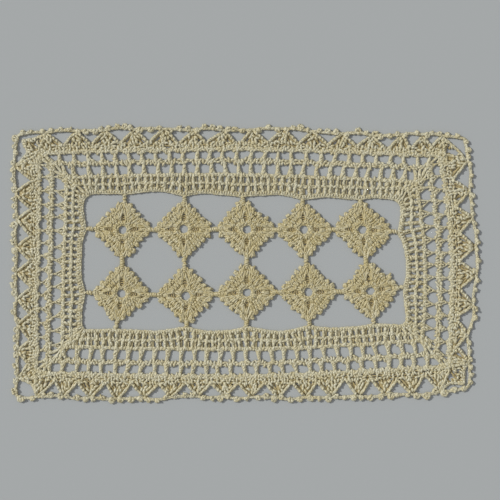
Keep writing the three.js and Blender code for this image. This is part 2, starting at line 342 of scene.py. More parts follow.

# Long strands of a fan, one half of it: foot across and up, then top across and up, as shares of its
# half width and of its height. The arms lie along its edges, and the backs low down between them, dark
# with painted shade.
FAN_ARMS = np.array(((0.97, 0.33, 0.10, 0.98),))
FAN_ARM_POST = {
    "legs": 0.3, "turns": 1.2, "points": 8, "wraps": (0.2, 0.4, 0.6, 0.8), "height": 1.25, "yarn": 1.15,
    "bend": (0.5, -0.5),
}
FAN_BACKS = np.array((
    (0.85, 0.33, 0.10, 0.95),
    (0.45, 0.33, 0.06, 0.90),
    (0.10, 0.33, 0.02, 0.85),
))
FAN_BACK_POST = {"wraps": (), "height": 0.5, "yarn": 1.1, "painted_shade": BACK_PAINTED_SHADE, "flat": 0.3}
FAN_TIP = 1.3
FAN_STRAY = 0.03
PIT_STRAY = 0.06
PIT_MARGIN = 0.9

# Rows of lumps under the fans and in a fan, as shares of the height, and their share of its width
FAN_ROWS = (0.10, 0.21, 0.32)
FAN_FILL = (0.43, 0.56, 0.70, 0.84)
FAN_FILL_WIDTH = 1.1
FAN_LUMP_SIZE = 1.15

# Lace at a border's corner: rows of lumps as shares of the way to the rim, their backs, dark with painted
# shade, and the rim
CORNER_ROWS = (0.12, 0.32, 0.52, 0.72, 0.92)
CORNER_AHEAD = 0.1
CORNER_SAMPLES = 30
CORNER_BACK_POST = {"wraps": (), "height": 0.5, "points": 4, "painted_shade": BACK_PAINTED_SHADE, "flat": 0.3}
CORNER_BACK_PITCH = 4.0
RIM_CHAIN = {"width": 0.7, "height": 1.0}
RIM_SAMPLES = 60

# Picots: the chain stitches of a ring, and the lumps that fill it
PICOT_CHAINS = 3
PICOT_CHAIN = {"width": 0.7, "height": 1.15, "wrapped": True}
PICOT_SAMPLES = 24
PICOT_LUMPS = 3
PICOT_LUMP = {"size": 0.95, "height": 1.35}
PICOT_LUMP_SPREAD = 0.4
PICOT_SIZE_STRAY = 0.22
PICOT_PLACE_STRAY = 0.8

# Motifs: the place of each in the lattice and its size
MOTIF_ROWS = [
    [
        (-110.2, 31.0, 1.0), (-55.4, 31.5, 0.98), (1.0, 32.0, 1.02),
        (52.6, 31.0, 0.98), (105.4, 31.2, 0.99),
    ],
    [
        (-111.6, -26.1, 1.0), (-53.6, -28.0, 1.01), (1.4, -25.5, 1.02),
        (56.2, -24.8, 0.99), (112.0, -23.5, 1.0),
    ],
]
MOTIF_TIPS = 4
MOTIF_REACH = 26.3
MOTIF_EDGE = 0.965

# The ring in the middle of a motif
MOTIF_RING = 5.0
MOTIF_RING_SAMPLES = 40
MOTIF_RING_CHAIN = {"width": 0.7, "height": 0.9}

# Rounds of a motif: size as a share of the whole, then stitches on each edge and their pitch. The feet
# of a round keep to the middle part of the edge below.
MOTIF_ROUNDS = (
    (0.45, 4, 2.6),
    (0.77, 10, 2.6),
    (0.965, 13, 2.65),
)
MOTIF_TALL_HEIGHT = 1.15
MOTIF_FEET = 0.46

# Stitches on the lines to a motif's tips, from and to, as shares of its size
MOTIF_AXIS = ((0.17, 0.29), (0.54, 0.76), (0.74, 0.94))
MOTIF_AXIS_HEIGHT = 1.1

# The backs of a motif's stitches: rings of yarn underneath, dark with painted shade, as shares of its size
MOTIF_BACKS = (0.28, 0.36, 0.43, 0.50, 0.58, 0.66, 0.74, 0.83, 0.92)
MOTIF_BACK_HEIGHT = 0.65

# Picots on each edge of a motif, and the chains that join its tips to what is next to it
MOTIF_PICOT = {"count": 5, "from_tip": 3.2, "size": 1.25, "stand": 0.7, "stray": 0.4}
JOIN_POST = {
    "legs": 0.6, "turns": 1.5, "points": 8, "wraps": (0.2, 0.4, 0.6, 0.8), "girth": 1.7, "height": 1.1,
}
JOIN_START = 0.9
JOIN_OVERLAP = 0.6

# The doily as it lies, uneven along x, y and z. Short waves have a length, a shift and a second length
# the other way, and long waves two lengths.
SHORT_WAVES = {"x": (5.1, 0.7, 8.7), "y": (5.9, 2.1, 7.9), "z": (11.3, 1.2, 9.1)}
LONG_WAVES = {"x": (23, 31), "y": (27, -21)}
SHORT_WAVE = 0.4
LONG_WAVE = 0.3
RISE_WAVE = 0.1

# Painted shade in the yarn's colour: how much of it lies on the sides of a strand, how it falls off
# upwards, and between which heights it grows full low down
PAINTED_SIDE_SHADE = 0.34
PAINTED_SIDE_SHADE_FALL = 0.55
PAINTED_LOW_SHADE_TOP = 1.2
PAINTED_LOW_SHADE_BOTTOM = 0.3

# Finish of the yarn: its gloss, clouds and tones that dull it, and the relief of plies and fibres
YARN_GLOSS = {"Roughness": 0.4, "Specular IOR Level": 1.0, "Sheen Weight": 0.06, "Sheen Roughness": 0.6}
CLOUD = {"Scale": 55, "Detail": 3}
FIBRE = {"Scale": 2600, "Detail": 2}
RELIEF = {"Strength": 0.5, "Distance": 0.09 * MM}
TONE_SHARE = 0.5
CLOUD_SHARE = 0.6
PLY_SHARE = 0.5

# Stage: the floor's half width and drop below the doily in metres, its gloss, light and camera
FLOOR_HALF = 8.0
FLOOR_DROP = 0.1 * MM
FLOOR_GLOSS = {"Roughness": 0.8, "Specular IOR Level": 0.1}
SUN_FROM = (-0.735, 0.33, 0.59)
SUN_COLOUR = (1.0, 0.99, 0.96)
SKY_COLOUR = (0.98, 0.99, 1.03)
CAMERA_LENS = 80.0
CAMERA_SENSOR = 36.0
PICTURE_MIDDLE = (4.05, 13.05)


class YarnSettings(bpy.types.PropertyGroup):
    """The yarn that the doily is worked in."""

    thickness: FloatProperty(
        name="Thickness", description="Thickness of the yarn",
        default=1.7 * MM, unit="LENGTH", precision=5,
    )
    sides: IntProperty(name="Sides", description="Sides of a strand's section", default=5, min=4, max=12)
    lit: FloatVectorProperty(
        name="Light tone", description="Colour of the clean strands",
        default=(0.755, 0.74, 0.57), subtype="COLOR",
    )
    worn: FloatVectorProperty(
        name="Dark tone", description="Colour of the duller strands",
        default=(0.645, 0.55, 0.272), subtype="COLOR",
    )
    # Painted shade: the colour mixed in low down, on the sides and undersides of strands, and on the dark
    # backs
    painted_shade: FloatVectorProperty(
        name="Deep tone", description="Colour low down between the stitches",
        default=(0.48, 0.37, 0.142), subtype="COLOR",
    )
    plies: IntProperty(name="Plies", description="Plies twisted in the yarn", default=3, min=2, max=6)
    lay: FloatProperty(
        name="Lay", description="Length of one turn of the twist",
        default=3.2 * MM, unit="LENGTH", precision=5,
    )


class GaugeSettings(bpy.types.PropertyGroup):
    """How large the stitches are worked."""

    chain: FloatProperty(
        name="Chain", description="Length of one chain stitch",
        default=2.6 * MM, unit="LENGTH", precision=5,
    )
    braid: FloatProperty(
        name="Braid", description="Half width of a chain to the middle of its strands",
        default=0.78 * MM, unit="LENGTH", precision=5,
    )
    post: FloatProperty(
        name="Post", description="Distance of a post's strands from its middle",
        default=0.56 * MM, unit="LENGTH", precision=5,
    )
    band: FloatProperty(
        name="Band", description="Pitch of the short stitches in the band",
        default=2.4 * MM, unit="LENGTH", precision=5,
    )
    filet: FloatProperty(
        name="Filet", description="Pitch of the filet squares",
        default=6.2 * MM, unit="LENGTH", precision=5,
    )
    dense: FloatProperty(
        name="Dense", description="Pitch of tall stitches side by side, and the least pitch of filet posts",
        default=3.4 * MM, unit="LENGTH", precision=5,
    )
    picot: FloatProperty(
        name="Picot", description="Pitch of the picots on the edge",
        default=7.6 * MM, unit="LENGTH", precision=5,
    )
    unevenness: FloatProperty(
        name="Unevenness", description="How far a stitch strays from its place",
        default=0.22 * MM, unit="LENGTH", precision=5,
    )


class StageSettings(bpy.types.PropertyGroup):
    """Floor, light and camera."""

    floor: FloatVectorProperty(
        name="Floor", description="Colour of the floor",
        default=(0.525, 0.55, 0.553), subtype="COLOR",
    )
    sun: FloatProperty(name="Sun", description="Strength of the key light", default=2.05)
    sun_spread: FloatProperty(
        name="Sun spread", description="Softness of the key light",
        default=math.radians(4), subtype="ANGLE",
    )
    sky: FloatProperty(name="Sky", description="Strength of the fill light", default=0.33)
    frame_width: FloatProperty(
        name="Frame width", description="Width of the picture at the floor",
        default=0.450, unit="LENGTH",
    )


def left_of(vectors):
    """Each direction in the plane turned a quarter to the left."""
    return np.stack((-vectors[..., 1], vectors[..., 0]), axis=-1)


def unit(vectors):
    """Each vector at a length of one."""
    return vectors / np.maximum(np.linalg.norm(vectors, axis=-1, keepdims=True), TINY)


def upright(directions):
    """Which directions run across the doily, from long side to long side."""
    return np.abs(directions[:, 1]) > UPRIGHT_LEAST


def raised(flat, height):
    """Places in the plane with their heights added."""
    return np.concatenate((flat, height[..., None]), axis=-1)


def straight_side(side, line):
    """Start of a side's line, the way to its end, and the direction outwards."""
    start = np.array(CORNERS[side["from"]][line])
    end = np.array(CORNERS[side["to"]][line])
    return start, end - start, unit(left_of(end - start))


def side_line(side, line, s):
    """A line of the border at shares s of one side, on its even bow: the opening or the edge chain."""
    start, way, out = straight_side(side, line)
    s = s[..., None]
    return start + way * s + out * side[line + "_bow"] * 4 * s * (1 - s)


def place(side, s, share, out=0.0):
    """Points of the border: shares of the side and of the depth, then an offset outwards."""
    s = np.asarray(s, float)
    share = np.broadcast_to(np.asarray(share, float), s.shape)[..., None]

    def at(t):
        return side_line(side, "opening", t) * (1 - share) + side_line(side, "edge", t) * share

    tangent = unit(at(s + PLACE_NUDGE) - at(s - PLACE_NUDGE))
    return at(s) + left_of(tangent) * np.asarray(out, float)[..., None]


def round_depth(depth, s):
    """Depth of a mesh round at shares s of its side, on a curve through its start, middle and end."""
    start, middle, end = depth
    return start + s * (end - start) + (2 * (start + end) - 4 * middle) * s * (s - 1)


def mesh_stations(mesh):
    """Shares of a side at which the gaps of a mesh round stand."""
    k = np.arange(mesh["count"])
    last = mesh["count"] - 1
    closing = mesh.get("close_up", 0.0) / 2 * k * (1 - k / last)
    return (mesh["lead"] + k + closing) / (last + mesh["lead"] + mesh["tail"])


def fan_stations(fans):
    """Shares of a side at which the fans' tips meet the edge chain."""
    even = (np.arange(fans["count"]) + fans["lead"]) / (fans["count"] - 1 + fans["lead"] + fans["tail"])
    closed = even[-1] + np.arange(1, fans["closing"]) * (1 - even[-1]) / fans["closing"]
    return np.concatenate((even, closed))


def fan_stops(side):
    """Shares of a side at its corners and at the fans' tips."""
    return np.concatenate(([0], fan_stations(side["fans"]), [1]))


def edge_stray(side, s):
    """How far the edge chain stands out past its even bow."""
    return np.interp(s, np.linspace(0, 1, len(side["stray"])), side["stray"])


def fan_tips(side):
    """Tips of the fans of a side, a little inside the edge chain."""
    s = fan_stations(side["fans"])
    return place(side, s, 1, edge_stray(side, s) - FAN_TIP)


class Course:
    """A line that stitches are worked along, closed or open, with the doily's outside on its left.

    Each turn is the number of a given point and how far to either side of it the line is worked round.
    """

    def __init__(self, points, closed=True, turns=()):
        self.closed = closed
        line = np.vstack((points, points[:1])) if closed else np.asarray(points, float)
        at = np.concatenate(([0], np.cumsum(np.linalg.norm(np.diff(line, axis=0), axis=1))))
        count = max(COURSE_LEAST, round(at[-1] / COURSE_STEP))
        even = np.linspace(0, at[-1], count, endpoint=not closed)
        points = np.stack([np.interp(even, at, line[:, k]) for k in (0, 1)], axis=1)
        if closed:
            points = self.eased(points, even, at[-1], [(at[number], reach) for number, reach in turns])
            ahead = np.roll(points, -1, axis=0)
            behind = np.roll(points, 1, axis=0)
            line = np.vstack((points, points[:1]))
        else:
            ahead = np.vstack((points[1:], points[-1:]))
            behind = np.vstack((points[:1], points[:-1]))
            line = points
        self.points = points
        self.tangents = unit(ahead - behind)
        self.at = np.concatenate(([0], np.cumsum(np.linalg.norm(np.diff(line, axis=0), axis=1))))
        self.length = self.at[-1]

    def eased(self, points, even, length, turns):
        """The points with each turn worked round: each moves to the middle of the line about it."""
        reach = np.full(len(even), EASE_LEAST)
        for where, far in turns:
            gap = np.abs((even - where + length / 2) % length - length / 2)
            reach = np.maximum(reach, np.minimum(far, 2 * far - gap))
        steps = np.round(reach / COURSE_STEP).astype(int)
        margin = steps.max() + 1
        total = np.cumsum(np.vstack((points[-margin:], points, points[:margin])), axis=0)
        here = np.arange(len(even)) + margin
        return (total[here + steps] - total[here - steps - 1]) / (2 * steps + 1)[:, None]

    def sample(self, values, t):
        """Values kept at the points, read at distances t along the course."""
        knots = values
        if self.closed:
            t = np.mod(t, self.length)
            knots = np.vstack((values, values[:1]))
        return np.stack([np.interp(t, self.at, knots[:, k]) for k in (0, 1)], axis=-1)

    def lay(self, t, out=0.0):
        """Places at distances t along the course, and as far out of it as given."""
        tangent = unit(self.sample(self.tangents, t))
        return self.sample(self.points, t) + left_of(tangent) * np.asarray(out, float)[..., None]

    def nearest(self, places):
        """Distances along the course of the points nearest to some places."""
        gaps = np.linalg.norm(places[:, None] - self.points[None], axis=2)
        return self.at[gaps.argmin(axis=1)]

    def facing(self, places):
        """Distances along the closed course that face places all round it, at steps evened out."""
        at = self.nearest(places)
        steps = self.span(at, np.roll(at, -1))
        around = np.concatenate((steps[-EVEN_REACH:], steps, steps[:EVEN_REACH]))
        even = np.convolve(around, np.ones(2 * EVEN_REACH + 1) / (2 * EVEN_REACH + 1), mode="valid")
        feet = at[0] + np.concatenate(([0], np.cumsum(even[:-1])))
        return feet + self.span(feet, at).mean()

    def span(self, start, end):
        """The shorter way along the closed course from one distance to another, back or forth."""
        return (end - start + self.length / 2) % self.length - self.length / 2

    def stations(self, pitch):
        """Distances along the course at an even pitch."""
        count = max(1, round(self.length / pitch))
        return (np.arange(count) + 0.5) * self.length / count


def circle(middle, radius, start, samples):
    """A closed course round a circle, clockwise from the angle at which it starts."""
    turn = start - np.linspace(0, TURN, samples, endpoint=False)
    return Course(middle + radius * np.stack((np.cos(turn), np.sin(turn)), axis=1))


def ring(line_of, easing):
    """A closed course round the border, from a function that gives each side's line."""
    s = np.linspace(0, 1, SAMPLES_A_SIDE, endpoint=False)
    points = np.concatenate([line_of(side, s) for side in SIDES])
    turns = [(k * SAMPLES_A_SIDE, easing * CORNERS[side["from"]]["radius"]) for k, side in enumerate(SIDES)]
    return Course(points, turns=turns)


def stretches(stops, s):
    """Which stretch between stops holds each of the shares s, and its share of the way along it."""
    k = np.clip(np.searchsorted(stops, s, side="right") - 1, 0, len(stops) - 2)
    return k, (s - stops[k]) / (stops[k + 1] - stops[k])


def rim_wave(side, s):
    """How far the opening's edge stands out past the straight line, in curves between the joins."""
    k, u = stretches(np.concatenate(([0], side["joins"], [1])), s)
    rim = np.array(side["rim"])
    start, middle, end = rim[2 * k], rim[2 * k + 1], rim[2 * k + 2]
    return start + (end - start) * u + (2 * middle - start - end) * 2 * u * (1 - u)


def loop_wave(side, s):
    """How far the edge chain stands out: it bows between the fans' tips, some loops more than others."""
    k, u = stretches(fan_stops(side), s)
    return EDGE_LOOP_BOW * (1 + np.sin(k * EDGE_LOOP_TURN)) * 4 * u * (1 - u) + edge_stray(side, s)


def mesh_wave(mesh, s):
    """The chain over a mesh round bows out over each gap and is held in at each post."""
    stations = mesh_stations(mesh)
    return BAR_BOW * np.cos(TURN * np.interp(s, stations, np.arange(len(stations))))


def border_courses(edge_half):
    """The courses of the border, from the opening's edge outwards."""

    def inner_bar(side, s):
        return place(side, s, round_depth(side["inner_mesh"]["depth"], s), -INNER_GAP - BAR_UNDER_INNER)

    def opening(side, s):
        start, way, out = straight_side(side, "opening")
        return start + way * s[:, None] + out * (rim_wave(side, s) + edge_half)[:, None]

    def filet(order):
        def line(side, s):
            share = side["filet"][order]
            return opening(side, s) * (1 - share) + inner_bar(side, s) * share
        return line

    def middle_bar(side, s):
        inner = round_depth(side["inner_mesh"]["depth"], s)
        outer = round_depth(side["outer_mesh"]["depth"], s)
        bow = mesh_wave(side["inner_mesh"], s)
        return place(side, s, (inner + outer) / 2, (INNER_GAP - OUTER_GAP) / 2 + bow)

    def outer_bar(side, s):
        bow = mesh_wave(side["outer_mesh"], s)
        return place(side, s, round_depth(side["outer_mesh"]["depth"], s), OUTER_GAP + BAR_OVER_OUTER + bow)

    def edge(side, s):
        return place(side, s, 1, loop_wave(side, s))

    lines = {
        "opening": opening, "band": filet(0), "filet": filet(1), "inner": filet(2),
        "middle": middle_bar, "outer": outer_bar, "edge": edge,
    }
    return {name: ring(line, CORNER_EASING[name]) for name, line in lines.items()}


class Hand:
    """The hand that works the stitches: it holds the gauge, keeps the strands, and is a little uneven."""

    def __init__(self, seed, tones=BORDER_TONES):
        yarn = bpy.context.scene.doily_yarn
        gauge = bpy.context.scene.doily_gauge
        self.radius = yarn.thickness / MM / 2
        self.sides = yarn.sides
        self.lay = yarn.lay / MM
        self.chain = gauge.chain / MM
        self.braid = gauge.braid / MM
        self.post = gauge.post / MM
        self.stray = gauge.unevenness / MM
        self.tones = tones
        self.random = np.random.default_rng(seed)
        self.strands = []

    def vary(self, *shape):
        """Random values round zero, none of them far out."""
        return np.clip(self.random.normal(size=shape), -VARY_MOST, VARY_MOST)

    def keep(self, paths, closed, girth=1.0, painted_shade=0.0, flat=STRAND_FLAT):
        """Adds strands along paths, an array of strand, point and x, y, z. Open ones thin at their ends."""
        radius = np.full(paths.shape[1], self.radius * girth)
        if not closed:
            radius[[0, -1]] *= STRAND_END
        paths[..., 2] = np.maximum(paths[..., 2], radius * flat)
        # Each strand keeps the share of painted shade in its colour
        self.strands.append((paths, closed, radius, painted_shade, flat))

    def stretch(self, base, ahead, reach, across, height, **how):
        """Adds open strands that run ahead from each base, with their offsets to the right and heights."""
        right = -left_of(ahead)
        seen = base[:, None] + ahead[:, None] * reach[..., None] + right[:, None] * across[..., None]
        self.keep(raised(seen, height), closed=False, **how)

    def work_chain(self, course, t, pitch, height=1.0, width=1.0, wrapped=False, yarn=1.0):
        """Chain stitches at distances t along a course, each a drop-shaped loop drawn through the last."""
        along, across, up = CHAIN_LOOP.T
        count = len(t)
        half = self.braid * width
        size = 1 + CHAIN_STRAY["size"] * self.vary(count, 1)
        slant = CHAIN_STRAY["slant"] * self.vary(count, 1)
        x = t[:, None] + (along + slant * across) * pitch
        x = x + self.stray * CHAIN_STRAY["along"] * self.vary(count, 1)
        y = across * half * size + self.stray * CHAIN_STRAY["across"] * self.vary(count, 1)
        z = height + up * size + STRAND_LIFT * self.vary(count, 1)
        z = z + CHAIN_STRAY["tilt"] * np.sign(across) * self.vary(count, 1)
        self.keep(raised(course.lay(x, y), z), closed=True, girth=yarn)
        if wrapped:
            along, across, up = CHAIN_WRAP.T
            lean = np.sign(self.vary(count, 1) + WRAP_LEAN)
            size = 1 + WRAP_STRAY["size"] * self.vary(count, 1)
            x = t[:, None] + WRAP_AT * pitch + along * lean
            x = x + WRAP_STRAY["along"] * self.stray * self.vary(count, 1)
            y = across * half * size + WRAP_STRAY["across"] * self.stray * self.vary(count, 1)
            z = height + up * size + WRAP_STRAY["lift"] * self.vary(count, 1)
            kept = self.random.uniform(size=count) < WRAP_SHARE
            self.keep(raised(course.lay(x, y), z)[kept], closed=False, girth=WRAP_GIRTH * yarn)

    def work_round(self, course, **how):
        """One chain stitch after another all round a course."""
        t = course.stations(self.chain)
        self.work_chain(course, t, course.length / len(t), **how)

    def work_line(self, points, **how):
        """Chain stitches from the first to the last of some points."""
        line = Course(points, closed=False)
        count = max(1, round(line.length / self.chain - LINE_SPARE))
        pitch = line.length / (count + LINE_TAIL)
        self.work_chain(line, np.arange(count) * pitch, pitch, **how)

    def work_back(self, course, height, painted_shade=BACK_PAINTED_SHADE, rise=0.0):
        """A single strand round a course, the back of its stitches, higher by the rise on short sides."""
        t = course.stations(BACK_STEP)
        flat = course.lay(t, self.stray * self.vary(len(t)))
        steep = np.abs(course.sample(course.tangents, t)[:, 1])
        up = height + rise * steep + BACK_LIFT * self.vary(len(t))
        # The strand's colour takes the painted shade given; the backs under the work are dark with it
        self.keep(raised(flat, up)[None], closed=True, girth=BACK_GIRTH, painted_shade=painted_shade)

    def work_bar(self, course, offsets, height, rise=0.0):
        """A bar of single strands all round, at some distances out of a course."""
        for out in offsets:
            beside = Course(course.points + left_of(course.tangents) * out)
            self.work_back(beside, height, painted_shade=0.0, rise=rise)

    def work_strokes(self, feet, tops, height, **how):
        """Short stitches: one arched strand from each foot to its top."""
        count = len(feet)
        feet = feet + self.stray * self.vary(count, 2)
        rise = tops + self.stray * self.vary(count, 2) - feet
        far = np.linalg.norm(rise, axis=1)[:, None]
        share, up = STROKE.T
        lift = height + STRAND_LIFT * self.vary(count, 1)
        self.stretch(feet, rise / far, far * share, np.zeros((count, len(share))), lift + up, **how)

    def work_posts(self, feet, tops, legs=0.5, joint=0.45, turns=0.8, points=6, wraps=(0.6,), height=1.0,
                   girth=1.0, bend=0.0, flare=0.0, yarn=1.0, painted_shade=0.0, flat=STRAND_FLAT):
        """Posts: two strands that stand apart at the foot, meet, twist together, and hold wraps of yarn."""
        how = {"girth": yarn, "painted_shade": painted_shade, "flat": flat}
        count = len(feet)
        feet = feet + self.stray * self.vary(count, 2)
        tops = tops + self.stray * self.vary(count, 2)
        rise = tops - feet
        ahead = unit(rise)
        u = np.linspace(0, 1, points)
        far = np.linalg.norm(rise, axis=1)[:, None] + POST_TOP - POST_FOOT
        reach = POST_FOOT + far * u
        bend = np.broadcast_to(np.asarray(bend, float), (count,))[:, None]
        foot = np.clip(1 - u / joint, 0, 1)
        curve = bend * np.sin(math.pi * u) + flare * foot
        spread = self.post * girth * (1 + POST_STRAY["girth"] * self.vary(count, 1))
        start = POST_STRAY["start"] * self.vary(count, 1)
        lift = height + STRAND_LIFT * self.vary(count, 1)
        sag = POST_DIP * (1 - u) ** POST_DIP_POWER + POST_TUCK * u ** POST_TUCK_POWER
        turn = start + TURN * turns * u
        for half in (1, -1):
            across = half * (spread * np.cos(turn) + legs * foot) + curve
            up = half * POST_TWIST_FLAT * spread * np.sin(turn)
            self.stretch(feet, ahead, reach, across, lift + up - sag, **how)
        across, along, up = POST_WRAP.T
        for share in wraps:
            middle = POST_FOOT + far * (share + POST_STRAY["wrap"] * self.vary(count, 1))
            bow = bend * math.sin(math.pi * share)
            self.stretch(feet, ahead, middle + along, across * girth + bow, lift + up, **how)

    def work_tall(self, feet, tops, height):
        """Tall stitches with open heads: two strands that part at the top, and a wrap of yarn low down."""
        count = len(feet)
        slide = (tops - feet) * TALL_STRAY["slide"] * self.vary(count, 1)
        feet = feet + self.stray * self.vary(count, 2) + slide
        tops = tops + self.stray * self.vary(count, 2) + slide
        rise = tops - feet
        far = np.linalg.norm(rise, axis=1)[:, None]
        ahead = rise / far
        share, across, up = TALL_STRAND.T
        size = 1 + TALL_STRAY["size"] * self.vary(count, 1)
        lift = height + STRAND_LIFT * self.vary(count, 1)
        tilt = TALL_STRAY["tilt"] * self.vary(count, 1)
        for half in (1, -1):
            self.stretch(feet, ahead, far * share, half * across * size, lift + up + half * tilt)
        across, along, up = POST_WRAP.T
        reach = far * TALL_WRAP["at"] + along * TALL_WRAP["along"]
        across = across * TALL_WRAP["across"] * size
        self.stretch(feet, ahead, reach, across, lift + up, girth=TALL_WRAP["girth"])

    def work_lumps(self, places, ahead, size=1.0, height=1.15, lean=LUMP_LEAN):
        """Lumps: short arched strands, the tops of stitches, that each lean off the direction given."""
        kept = self.random.uniform(size=len(places)) < LUMP_SHARE
        places, ahead = places[kept], ahead[kept]
        count = len(places)
        angle = lean * self.vary(count, 1)
        ahead = ahead * np.cos(angle) + left_of(ahead) * np.sin(angle)
        along, up = LUMP.T
        grown = size * (1 + LUMP_STRAY["size"] * self.vary(count, 1))
        lift = height + LUMP_STRAY["lift"] * self.vary(count, 1)
        places = places + LUMP_STRAY["place"] * self.vary(count, 2)
        across = LUMP_BOW * self.vary(count, 1)
        how = {"girth": LUMP_GIRTH * size, "flat": LUMP_FLAT}
        self.stretch(places, ahead, along * grown, across, lift + up * grown, **how)

    def work_lumps_up(self, feet, tops, shares, **how):
        """Lumps on posts, at shares of the way from foot to top."""
        for share in shares:
            self.work_lumps(feet + (tops - feet) * share, unit(tops - feet), **how)

    def work_cover(self, course, offsets):
        """Rows of lumps all round a course, at some distances out of it."""
        for k, out in enumerate(offsets):
            t = course.stations(LUMP_PITCH) + LUMP_PITCH / 2 * (k % 2)
            places = course.lay(t, np.full(len(t), out))
            ahead = unit(course.lay(t, np.full(len(t), out + 1.0)) - places)
            self.work_lumps(places, ahead, lean=BAR_LEAN)

    def work_picots(self, places, out, size, stand):
        """Picots: at each place a small ring of chain stitches, drawn up to a knot that stands out."""
        for spot, direction in zip(places, out):
            radius = size * (1 + PICOT_SIZE_STRAY * self.vary(1)[0])
            middle = spot + direction * radius * stand
            course = circle(middle, radius, math.atan2(-direction[1], -direction[0]), PICOT_SAMPLES)
            t = np.arange(PICOT_CHAINS) * course.length / PICOT_CHAINS
            self.work_chain(course, t, course.length / PICOT_CHAINS, **PICOT_CHAIN)
            spots = middle + PICOT_LUMP_SPREAD * radius * self.vary(PICOT_LUMPS, 2)
            self.work_lumps(spots, unit(self.vary(PICOT_LUMPS, 2)), **PICOT_LUMP)


def sweep(paths, closed, radius, flat, sides, lay):
    """Round strands along paths: points, faces, a map along and round each, and how far points face up."""
    count, length, _ = paths.shape
    ahead = np.roll(paths, -1, axis=1)
    behind = np.roll(paths, 1, axis=1)
    if not closed:
        ahead[:, -1] = paths[:, -1]
        behind[:, 0] = paths[:, 0]
    tangent = unit(ahead - behind)
    side = unit(np.cross(UP, tangent))
    up = np.cross(tangent, side)
    angle = TURN * np.arange(sides) / sides
    skin = np.cos(angle)[:, None] * side[:, :, None] + flat * np.sin(angle)[:, None] * up[:, :, None]
    points = paths[:, :, None] + radius[:, None, None] * skin
    runs = length if closed else length - 1
    step = np.linalg.norm(np.roll(paths, -1, axis=1) - paths, axis=2)[:, :runs]
    run = np.concatenate((np.zeros((count, 1)), np.cumsum(step, axis=1)), axis=1) / lay
    i = np.arange(runs)[:, None]
    j = np.arange(sides)[None]
    corners = [(i, j), (i, j + 1), (i + 1, j + 1), (i + 1, j)]
    index = np.stack([(a % length) * sides + b % sides for a, b in corners], axis=-1)
    faces = index[None] + (np.arange(count) * length * sides)[:, None, None, None]
    twist = [np.stack(np.broadcast_arrays(run[:, a], b / sides), axis=-1) for a, b in corners]
    twist = np.stack(twist, axis=-2)
    return points.reshape(-1, 3), faces.reshape(-1, 4), twist.reshape(-1, 2), skin[..., 2].ravel() / flat


def drift(points):
    """The doily as it lies: not quite even, in the plane and in height."""
    x, y = points[:, 0], points[:, 1]

    def short(name, first, second, size=1.0):
        length, shift, other = SHORT_WAVES[name]
        return size * np.sin(first / length + shift) * np.sin(second / other)

    def long(name, first, second):
        length, other = LONG_WAVES[name]
        return LONG_WAVE * np.sin(first / length + second / other)

    dx = short("x", y, x, SHORT_WAVE) + long("x", y, x)
    dy = short("y", x, y, SHORT_WAVE) + long("y", x, y)
    dz = RISE_WAVE * (1 + short("z", x, y))
    return points + np.stack((dx, dy, dz), axis=1)


def make_piece(name, hand, node):
    """One mesh of all the strands that a hand has made, riding in place of its plain solid."""
    points, faces, twist, tone, depth, caps = [], [], [], [], [], []
    base = 0
    for paths, closed, radius, painted_shade, flat in hand.strands:
        swept, quads, turns, facing_up = sweep(paths, closed, radius, flat, hand.sides, hand.lay)
        count, length, _ = paths.shape
        first = base + np.arange(count)[:, None] * length * hand.sides + np.arange(hand.sides)
        if not closed:
            caps.append(first[:, ::-1])
            caps.append(first + (length - 1) * hand.sides)
        points.append(swept)
        faces.append(quads + base)
        twist.append(turns)
        tone.append(np.repeat(hand.random.uniform(*hand.tones, count), length * hand.sides))
        # Painted shade: full low down, more on a strand's sides and underside, and at least what the strand
        # is given
        low = np.clip((PAINTED_LOW_SHADE_TOP - swept[:, 2]) / (PAINTED_LOW_SHADE_TOP - PAINTED_LOW_SHADE_BOTTOM), 0, 1)
        depth.append(np.maximum(np.maximum(PAINTED_SIDE_SHADE - PAINTED_SIDE_SHADE_FALL * facing_up, low), painted_shade))
        base += len(swept)
    ends = np.concatenate(caps)
    places = drift(np.concatenate(points))
    places[:, :2] += LATTICE_SHIFT
    mesh = bpy.data.meshes.new(name)
    mesh.from_pydata(places * MM, [], np.concatenate(faces).tolist() + ends.tolist())
    twist.append(np.zeros((ends.size, 2)))
    twist_map = mesh.uv_layers.new(name="twist")
    twist_map.data.foreach_set("uv", np.concatenate(twist).astype(np.float32).ravel())
    for label, values in (("tone", np.concatenate(tone)), ("depth", np.clip(np.concatenate(depth), 0, 1))):
        shade = mesh.attributes.new(label, "FLOAT", "POINT")
        shade.data.foreach_set("value", values.astype(np.float32))
    mesh.polygons.foreach_set("use_smooth", np.ones(len(mesh.polygons), bool))
    mesh.materials.append(yarn_material())
    mesh.update()
    piece = bpy.data.objects.new(name, mesh)
    bpy.context.scene.collection.objects.link(piece)
    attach(piece, ROOT)
    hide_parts(node)


def set_inputs(node, values):
    """Sets plain values on a node's sockets."""
    for name, value in values.items():
        node.inputs[name].default_value = value


